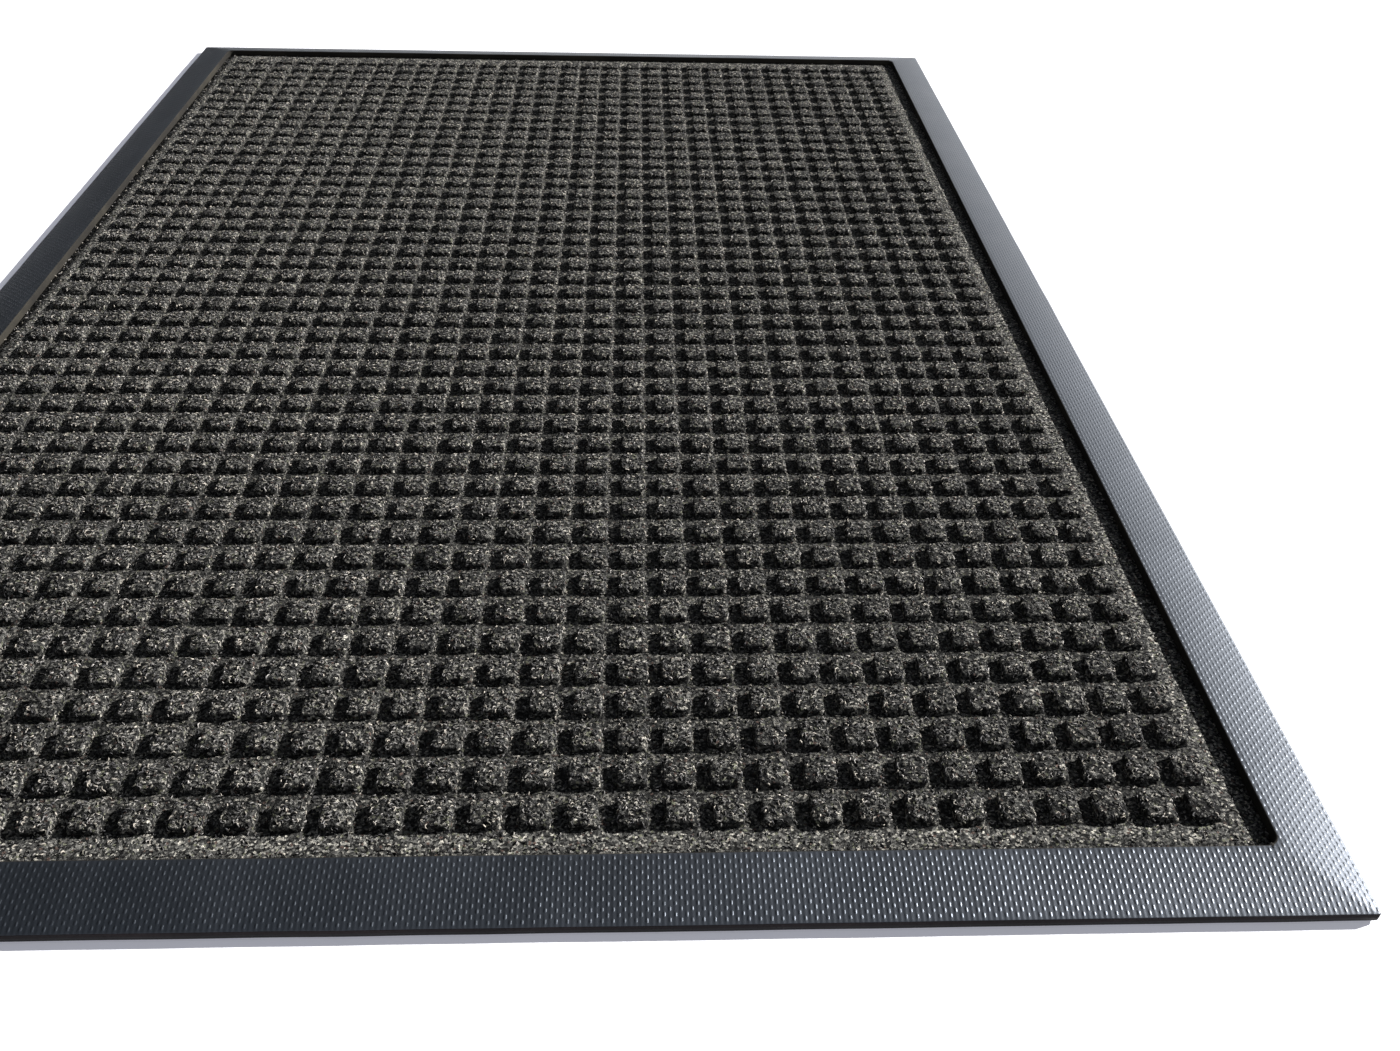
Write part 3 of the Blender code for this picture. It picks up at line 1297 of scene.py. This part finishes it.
    def lattice(self, side: Side) -> dict:
        """The lattice over one strip, as inputs of the weave's recipe.

        Args:
            side: Which side of the mat.

        Returns:
            The inputs, whose middle is on a crossing that all four strips share.
        """
        half = self.mat.half
        reach = (self.width / 2, half.y) if side.value % 2 else (half.x, self.width / 2)
        middle = [side.outward[axis] * (half[axis] - self.width / 2) for axis in range(2)]
        pitches = (self.warp_pitch, self.weft_pitch)
        counts = [2 * math.ceil(far / pitch) + 3 for far, pitch in zip(reach, pitches)]
        place = [round(part / pitch) * pitch for part, pitch in zip(middle, pitches)]
        return {
            "Columns": counts[0],
            "Rows": counts[1],
            "Warp_Pitch": self.warp_pitch,
            "Weft_Pitch": self.weft_pitch,
            "Middle": Vector((*place, 2 * self.mat.dam_top)),
        }

    def dress(self, strip: bpy.types.Object) -> None:
        """Gives a strip's outer wall and its inner wall and edge their own finishes."""
        strip.data.materials.append(self.trimmed)
        strip.data.materials.append(self.dusty)
        half = self.mat.half
        for face in strip.data.polygons:
            inset = min(half.x - abs(face.center.x), half.y - abs(face.center.y))
            if inset > self.width - self.edge_radius:
                face.material_index = 2
            elif abs(face.normal.z) < self.steep:
                face.material_index = 1

    def build(self) -> None:
        """Builds the four strips, each with its grains."""
        grain = self.grain()
        for side in Side:
            strip = self.strip(side)
            piece = self.weave.make(
                f"border_{side.label}",
                self.face(side),
                self.finish,
                Strip=strip,
                Grain=grain,
                Stray=self.grain_stray,
                Swell=self.grain_swell,
                Seed=21 + side.value,
                **self.lattice(side),
            )
            bpy.data.objects.remove(strip)
            self.dress(piece)
            sharpen(piece, self.sharp)
            node = f"border_strip_{side.label}"
            place_piece(piece, node, node)
        bpy.data.objects.remove(grain)


@dataclass
class Underlay:
    """What the carpet hides: the carrier cloth and a rubber core in each raised square."""

    mat: MatFrame
    cloth: bpy.types.Material
    rubber: bpy.types.Material
    copies: Recipe
    cloth_thickness: float = 0.4 * MM
    core_inset: float = 2.2 * MM  # from a square's foot to its core's
    core_radius: float = 1.2 * MM
    core_taper: float = 0.9  # of its top against its foot
    pile_over_core: float = 1.6 * MM

    def scrim(self) -> None:
        """The carrier cloth, a flat sheet under the whole carpet."""
        outline = rounded_rectangle(self.mat.carpet_half, CARPET_CORNER, 3, SIDE_STEP)
        base = self.mat.scrim_base
        rings = [
            [(point.x, point.y, height) for point in outline]
            for height in (base, base + self.cloth_thickness)
        ]
        scrim = stack("carrier_scrim", rings)
        sharpen(scrim, 30)
        scrim.data.materials.append(self.cloth)
        place_piece(scrim, "carpet_scrim", "carpet_scrim")

    def core(self) -> bpy.types.Object:
        """One tapered rubber block, as high as the square's inside."""
        base = self.mat.scrim_base + self.cloth_thickness
        top = self.mat.nub_top - self.pile_over_core
        foot = NUB_SIZE / 2 - Vector((1, 1)) * self.core_inset
        rings = []
        for share, height in ((1.0, base), (self.core_taper, top)):
            outline = rounded_rectangle(foot * share, self.core_radius, 1, SIDE_STEP)
            rings.append([(point.x, point.y, height) for point in outline])
        return stack("core_shape", rings)

    def cores(self) -> None:
        """The rubber cores of all the squares, as one piece."""
        core = self.core()
        nothing = bpy.data.meshes.new("nothing")
        cores = self.copies.make(
            "nub_cores", nothing, self.rubber, Shape=core, Seed=31, **self.mat.squares
        )
        bpy.data.objects.remove(core)
        place_piece(cores, "nub_core_bed", "nub_core_bed")

    def build(self) -> None:
        """Builds both."""
        self.scrim()
        self.cores()


@dataclass
class EmbossedCarpet:
    """The needled face: a flat ground, its raised squares and the curls of its pile."""

    mat: MatFrame
    pressed: bpy.types.Material
    open_pile: bpy.types.Material
    copies: Recipe
    scatter: Recipe
    ground_step: float = 9 * MM
    ground_wave: float = 0.22 * MM
    ground_wave_length: float = 14 * MM
    nub_points: int = 16
    squareness: float = 8.0  # of a raised square's plan: 2 is an ellipse
    nub_turn: float = 0.035  # radians
    nub_stray: float = 0.18 * MM
    nub_swell: float = 0.045
    nub_lumps: float = 0.32 * MM
    curl_radius: float = 0.66 * MM
    curl_dip: float = 0.08 * MM  # of its ends in the felt
    curl_tilt: float = 0.35  # radians
    curl_sizes: tuple[float, float] = (0.75, 1.5)
    strand: float = 0.22 * MM  # half a strand's thickness
    curls_per_piece: int = 14500
    crowding: float = 1.4  # allows for the steep faces, where fewer curls stand
    ground_share: float = 0.35  # thickness of the curls on the flat carpet
    pile_root: float = 0.3 * MM  # how far under the flat carpet the pile still grows
    blend: tuple[Dye, ...] = (
        Dye.CHARCOAL,
        Dye.SLATE,
        Dye.SLATE,
        Dye.PEWTER,
        Dye.PEWTER,
        Dye.DOVE,
        Dye.SAND,
        Dye.MOSS,
    )

    @property
    def valley(self) -> float:
        """Level of the flat carpet."""
        return self.mat.nub_top - NUB_RISE

    def ground(self) -> bpy.types.Object:
        """The flat felt, a slab whose top is slightly uneven."""
        builder = bmesh.new()
        half = self.mat.carpet_half
        across = math.ceil(2 * half.x / self.ground_step)
        along = math.ceil(2 * half.y / self.ground_step)
        rows = []
        for j in range(along + 1):
            row = []
            for i in range(across + 1):
                x = half.x * (2 * i / across - 1)
                y = half.y * (2 * j / along - 1)
                spot = Vector((x, y, 0.2)) / self.ground_wave_length
                level = self.valley + self.ground_wave * noise.noise(spot)
                row.append(builder.verts.new((x, y, level)))
            rows.append(row)
        for first, second in zip(rows, rows[1:]):
            bridge(builder, first, second, False)
        cut = CARPET_CORNER * (1 - math.sqrt(0.5))
        for x_index, y_index in ((0, 0), (0, -1), (-1, 0), (-1, -1)):
            corner = rows[y_index][x_index].co
            corner.x -= math.copysign(cut, corner.x)
            corner.y -= math.copysign(cut, corner.y)
        rim = (
            rows[0][:-1]
            + [row[-1] for row in rows[:-1]]
            + rows[-1][:0:-1]
            + [row[0] for row in rows[:0:-1]]
        )
        foot = [builder.verts.new((v.co.x, v.co.y, self.mat.carpet_base)) for v in rim]
        bridge(builder, rim, foot, True)
        builder.faces.new(foot)
        ground = object_from("carpet_ground", builder)
        ground.data.materials.append(self.pressed)
        return ground

    def nub(self) -> bpy.types.Object:
        """One raised square, a pillow with steep sides and a flared foot."""
        rings = [
            oval(self.nub_points, NUB_SIZE, share, height, power=2 / self.squareness)
            for share, height in (
                (1.05, -0.5 * MM),
                (1.0, 0.4 * MM),
                (0.98, NUB_RISE - 0.5 * MM),
                (0.89, NUB_RISE - 0.06 * MM),
            )
        ]
        return stack("nub_shape", rings, crown=NUB_RISE)

    def nubs(self) -> bpy.types.Object:
        """All the raised squares, each a little turned, shifted and swollen."""
        nub = self.nub()
        nubs = self.copies.make(
            "carpet_nubs",
            bpy.data.meshes.new("nothing"),
            self.open_pile,
            Shape=nub,
            Level=self.valley,
            Turn=self.nub_turn,
            Stray=self.nub_stray,
            Swell=self.nub_swell,
            Lumps=self.nub_lumps,
            Seed=41,
            **self.mat.squares,
        )
        bpy.data.objects.remove(nub)
        return nubs

    def curl(self, name: str, sweep: float, rise: float, bend: float) -> bpy.types.Object:
        """One curled fibre: a three-sided strand with pointed ends that dip in the felt.

        Args:
            name: Name of the shape.
            sweep: Degrees that the strand turns through.
            rise: How high its middle stands, as a share of the curl's radius.
            bend: Turns its far half the other way: 1 is a plain arc, -1 an S.

        Returns:
            The shape's object.
        """
        path = []
        for step in range(4):
            share = step / 3
            way = 1 if share <= 0.5 else bend
            angle = math.radians(sweep) * (share - 0.5) * way
            x = self.curl_radius * math.sin(angle) * way
            y = self.curl_radius * (1 - math.cos(angle)) * way
            lift = self.curl_radius * rise * math.sin(math.pi * share) - self.curl_dip
            path.append(Vector((x, y, lift)))
        builder = bmesh.new()
        rings = []
        for before, here, after in zip(path, path[1:], path[2:]):
            along = (after - before).normalized()
            side = along.cross(Vector((0, 0, 1))).normalized()
            up = side.cross(along)
            ring = []
            for i in range(3):
                angle = math.radians(90 + 120 * i)
                offset = side * math.cos(angle) + up * math.sin(angle)
                ring.append(builder.verts.new(here + offset * self.strand))
            rings.append(ring)
        bridge(builder, rings[0], rings[1], True)
        for tip, ring in ((path[0], rings[0]), (path[-1], rings[1])):
            point = builder.verts.new(tip)
            for i in range(3):
                builder.faces.new((point, ring[i], ring[(i + 1) % 3]))
        return object_from(name, builder)

    def pile_base(self, ground: bpy.types.Object, nubs: bpy.types.Object) -> bpy.types.Mesh:
        """The faces that the pile grows from: the ground's top and the raised squares."""
        builder = bmesh.new()
        share = builder.verts.layers.float.new(SHARE)
        for part, thickness in ((ground, self.ground_share), (nubs, 1.0)):
            known = len(builder.verts)
            builder.from_mesh(part.data)
            builder.verts.ensure_lookup_table()
            for vert in builder.verts[known:]:
                vert[share] = thickness
        low = self.valley - self.pile_root
        sunk = [
            face
            for face in builder.faces
            if face.normal.z < -0.2 or face.calc_center_median().z < low
        ]
        bmesh.ops.delete(builder, geom=sunk, context="FACES")
        mesh = bpy.data.meshes.new("pile_base")
        builder.to_mesh(mesh)
        builder.free()
        return mesh

    def pile(
        self, ground: bpy.types.Object, nubs: bpy.types.Object
    ) -> list[bpy.types.Object]:
        """Scatters the curls, one piece for each share of the fibre blend."""
        shapes = {
            "Crook": self.curl("crook_shape", 215, 0.40, 1),
            "Arch": self.curl("arch_shape", 170, 0.80, 1),
            "Hook": self.curl("hook_shape", 250, 0.35, -1),
        }
        base = self.pile_base(ground, nubs)
        area = sum(
            face.area * base.attributes[SHARE].data[face.vertices[0]].value
            for face in base.polygons
        )
        finishes = {dye: CurledFibre(dye).make() for dye in Dye}
        pieces = []
        for number, dye in enumerate(self.blend):
            piece = self.scatter.make(
                f"pile_{dye.name.lower()}_{number + 1}",
                base,
                finishes[dye],
                Density=self.crowding * self.curls_per_piece / area,
                Tilt=self.curl_tilt,
                Smallest=self.curl_sizes[0],
                Largest=self.curl_sizes[1],
                Seed=101 + 17 * number,
                **shapes,
            )
            place_piece(piece, "carpet_pile")
            pieces.append(piece)
        for shape in shapes.values():
            bpy.data.objects.remove(shape)
        return pieces

    def build(self) -> None:
        ground = self.ground()
        nubs = self.nubs()
        pile = self.pile(ground, nubs)
        place_piece(nubs, "carpet_pile", "carpet_pile")
        place_piece(ground, "carpet_pile", "carpet_pile")


# ---------------------------------------------------------------------------
# Studio
# ---------------------------------------------------------------------------


@dataclass
class Studio:
    """A pale floor, a low key light from the right, soft fill and the camera."""

    mat: MatFrame
    floor_half: float = 6.0
    floor_colour: str = "#f1f2f3"
    floor_inset: float = 4 * MM  # of the opening, inside the mat's outline
    floor_glow: float = 0.28  # keeps the shadows on the floor pale
    glow_colour: str = "#e8e8f6"
    key_strength: float = 9.0
    key_softness: float = 1.6  # degrees
    key_colour: tuple[float, float, float] = (1.0, 0.985, 0.975)
    key_from: tuple[float, float, float] = (1.81, 0.57, 1.0)
    zenith_colour: str = "#d0d9ea"
    horizon_colour: str = "#ffffff"
    zenith: float = 0.05
    fill: float = 0.4
    fill_from: tuple[float, float, float] = (0.2, -0.8, 0.55)
    underneath: float = 2.2  # of the light that comes from under the floor
    horizon: tuple[float, float] = (0.0, 1.95)  # away from the glow, and towards it
    glow_from: tuple[float, float, float] = (0.62, 0.78, 0.25)
    backdrop: float = 1.0  # of the plain sky behind the floor
    eye: tuple[float, float, float] = (0.0592, -0.7214, 0.3564)
    azimuth: float = 3.35  # degrees right of +Y
    elevation: float = 35.87  # degrees that the camera looks down
    roll: float = 1.89  # degrees
    lens: float = 34.84  # mm, on a sensor 36 mm wide

    def floor(self) -> None:
        """The floor, at the tips of the cleats, open under the mat and clear from below."""
        builder = bmesh.new()
        rings = []
        for x, y in (
            (self.floor_half, self.floor_half),
            (self.mat.half.x - self.floor_inset, self.mat.half.y - self.floor_inset),
        ):
            corners = ((-x, -y), (x, -y), (x, y), (-x, y))
            rings.append([builder.verts.new((*corner, 0)) for corner in corners])
        bridge(builder, rings[0], rings[1], True)
        floor = object_from("studio_floor", builder)
        if floor.data.polygons[0].normal.z < 0:
            floor.data.flip_normals()
        floor.location.z = self.mat.floor
        material, shader = new_material(
            "matt_paint_white",
            {
                "Roughness": 0.7,
                "Base Color": linear(self.floor_colour),
                "Emission Color": linear(self.glow_colour),
                "Emission Strength": self.floor_glow,
            },
        )
        tree = material.node_tree
        clear = add_node(tree, "ShaderNodeBsdfTransparent")
        under = add_node(tree, "ShaderNodeNewGeometry").outputs["Backfacing"]
        mixed = add_node(tree, "ShaderNodeMixShader", {0: under, 1: shader, 2: clear})
        set_up(tree.nodes["Material Output"], {"Surface": mixed})
        floor.data.materials.append(material)

    def key(self) -> None:
        """The key light."""
        lamp = bpy.data.lights.new("key", "SUN")
        lamp.energy = self.key_strength
        lamp.angle = math.radians(self.key_softness)
        lamp.color = self.key_colour
        key = new_object("key", lamp)
        key.rotation_mode = "QUATERNION"
        key.rotation_quaternion = (-Vector(self.key_from)).to_track_quat("-Z", "Y")

    def sky(self) -> None:
        """The sky: bright low behind the mat, with a soft fill from the front."""
        world = bpy.data.worlds.new("studio")
        world.use_nodes = True
        tree = world.node_tree
        add = partial(add_node, tree)
        way = add("ShaderNodeTexCoord").outputs["Generated"]
        height = add("ShaderNodeSeparateXYZ", {0: way}).outputs["Z"]
        low = add(
            "ShaderNodeMapRange",
            {
                "interpolation_type": "SMOOTHSTEP",
                "Value": height,
                "From Min": 0.05,
                "From Max": 0.75,
                "To Min": 1.0,
                "To Max": 0.0,
            },
        )
        lobes = []
        for middle, edge, levels in (
            (self.glow_from, 0.46, self.horizon),
            (self.fill_from, 0.3, (self.zenith, self.zenith + self.fill)),
        ):
            middle = Vector(middle).normalized()
            toward = add(
                "ShaderNodeVectorMath", {"operation": "DOT_PRODUCT", 0: way, 1: middle}
            )
            lobes.append(
                add(
                    "ShaderNodeMapRange",
                    {
                        "interpolation_type": "SMOOTHSTEP",
                        "Value": toward.outputs["Value"],
                        "From Min": edge,
                        "To Min": levels[0],
                        "To Max": levels[1],
                    },
                )
            )
        glow, fill = lobes
        band = add("ShaderNodeMath", {"operation": "MULTIPLY_ADD", 0: low, 1: glow, 2: fill})
        under = add(
            "ShaderNodeMapRange",
            {
                "Value": height,
                "From Min": -0.2,
                "From Max": 0.0,
                "To Min": self.underneath,
                "To Max": 0.0,
            },
        )
        around = add("ShaderNodeMath", {"operation": "ADD", 0: band, 1: under})
        high, plain = linear(self.zenith_colour), linear(self.horizon_colour)
        tint = add("ShaderNodeMix", {"data_type": "RGBA", 0: low, 6: high, 7: plain})
        seen = add("ShaderNodeLightPath").outputs["Is Camera Ray"]
        strength = add(
            "ShaderNodeMix", {"data_type": "FLOAT", 0: seen, 2: around, 3: self.backdrop}
        )
        colour = add(
            "ShaderNodeMix", {"data_type": "RGBA", 0: seen, 6: tint.outputs[2], 7: plain}
        )
        set_up(tree.nodes["Background"], {"Color": colour.outputs[2], "Strength": strength})
        bpy.context.scene.world = world

    def camera(self) -> None:
        """The camera, where a person stands at the front edge and looks down the mat."""
        data = bpy.data.cameras.new("camera")
        data.lens = self.lens
        data.sensor_width = 36.0
        data.clip_start = 0.01
        camera = new_object("camera", data)
        turn, down = math.radians(self.azimuth), math.radians(self.elevation)
        level = (math.sin(turn) * math.cos(down), math.cos(turn) * math.cos(down))
        ahead = Vector((*level, -math.sin(down))).to_track_quat("-Z", "Y")
        camera.rotation_mode = "QUATERNION"
        camera.rotation_quaternion = ahead @ Quaternion((0, 0, 1), math.radians(self.roll))
        camera.location = self.eye
        bpy.context.scene.camera = camera

    def build(self) -> None:
        """Sets the floor, the lights, the camera and a plain view of the colours."""
        self.floor()
        self.key()
        self.sky()
        self.camera()
        bpy.context.scene.view_settings.view_transform = "Standard"


def main() -> None:
    """Builds the mat from the floor up, then the studio round it."""
    logging.basicConfig(level=logging.INFO, format="%(name)s: %(message)s")
    mat = MatFrame.read()
    copies = rows_of_copies()
    moulded = MouldedRubber().make()
    CleatedBacking(mat, moulded, copies).build()
    cured = CuredRubber().make()
    trimmed = MouldedRubber(
        name="vulcanised_rubber_trimmed",
        skin="#1b1719",
        bloom="#272123",
        pebble=0.5 * MM,
        roughness=0.8,
        level=0.15,
    ).make()
    dusty = MouldedRubber(
        name="vulcanised_rubber_dusty",
        skin="#23211e",
        bloom="#35322b",
        pebble=0.5 * MM,
        roughness=0.85,
        level=0.15,
    ).make()
    PressedBorder(mat, cured, trimmed, dusty, pressed_weave()).build()
    Underlay(mat, CarrierCloth().make(), moulded, copies).build()
    pressed = NeedledHeather(
        name="needle_punched_polypropylene_pressed",
        curl=1.0 * MM,
        fleck=0.8 * MM,
        squares=tuple(mat.field_half),
        # painted shade among the raised squares, painted light on the margin outside them
        lift=0.92,
        margin_lift=1.9,
        clump_depth=0.35,
        matted=0.3,
        relief=0.35 * MM,
    ).make()
    open_pile = NeedledHeather(lift=1.52, margin_lift=1.52).make()
    EmbossedCarpet(mat, pressed, open_pile, copies, scattered_curls()).build()
    Studio(mat).build()


if __name__ == "__main__":
    main()
